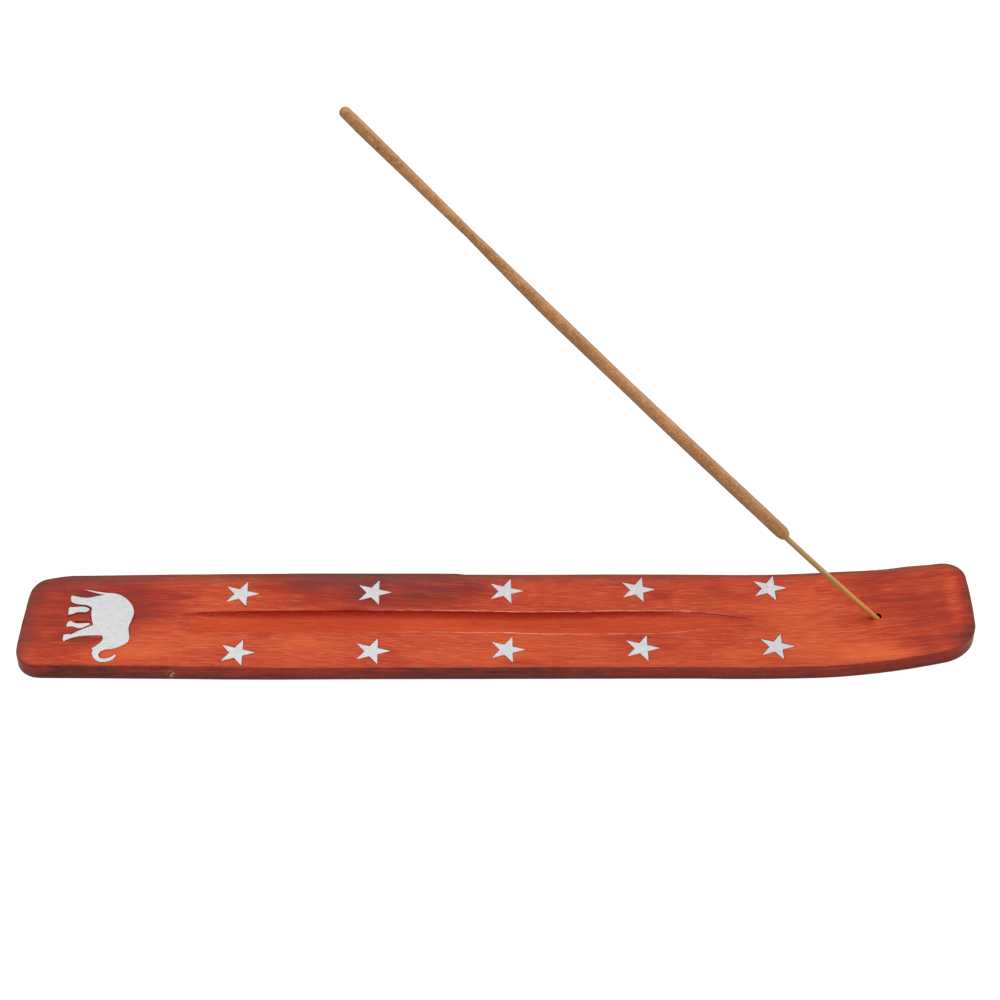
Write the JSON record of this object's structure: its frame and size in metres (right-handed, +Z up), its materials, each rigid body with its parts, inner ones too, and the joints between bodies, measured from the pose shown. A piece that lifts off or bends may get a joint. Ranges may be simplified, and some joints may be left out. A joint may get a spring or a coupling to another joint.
{
  "type": "incense stick holder",
  "caption": "Flat wooden ash catcher with a bent-up tip, a shallow ash groove, sheet-metal elephant and star inlays, and an incense stick that pulls out of a slanted blind hole.",
  "frame": {"origin": "middle of the board's underside, on the surface that it stands on", "axes": "+X along the board to the bent-up tip, +Y across the board to the side that the elephant's tail points to, +Z up"},
  "size_m": [0.255, 0.0362, 0.17],
  "materials": {
    "stained_wood": "red-orange stain, thin satin lacquer, fine straight grain",
    "inlay_metal": "pale brushed sheet",
    "bamboo": "bare split bamboo",
    "incense": "dry, powdery rolled paste"
  },
  "bodies": {
    "holder": {"base_board": "stained_wood", "elephant_body_inlay": "inlay_metal", "elephant_hind_leg_inlay": "inlay_metal", "elephant_fore_leg_inlay": "inlay_metal", "star_inlay_far_1": "inlay_metal", "star_inlay_far_2": "inlay_metal", "star_inlay_far_3": "inlay_metal", "star_inlay_far_4": "inlay_metal", "star_inlay_far_5": "inlay_metal", "star_inlay_near_1": "inlay_metal", "star_inlay_near_2": "inlay_metal", "star_inlay_near_3": "inlay_metal", "star_inlay_near_4": "inlay_metal", "star_inlay_near_5": "inlay_metal"},
    "stick": {"bamboo_core": "bamboo", "incense_coat": "incense"}
  },
  "joints": [
    {"name": "stick_pull", "type": "slide", "parent": "holder", "child": "stick", "axis": [-0.6756, 0, 0.7373], "range_m": [0, 0.025]}
  ]
}
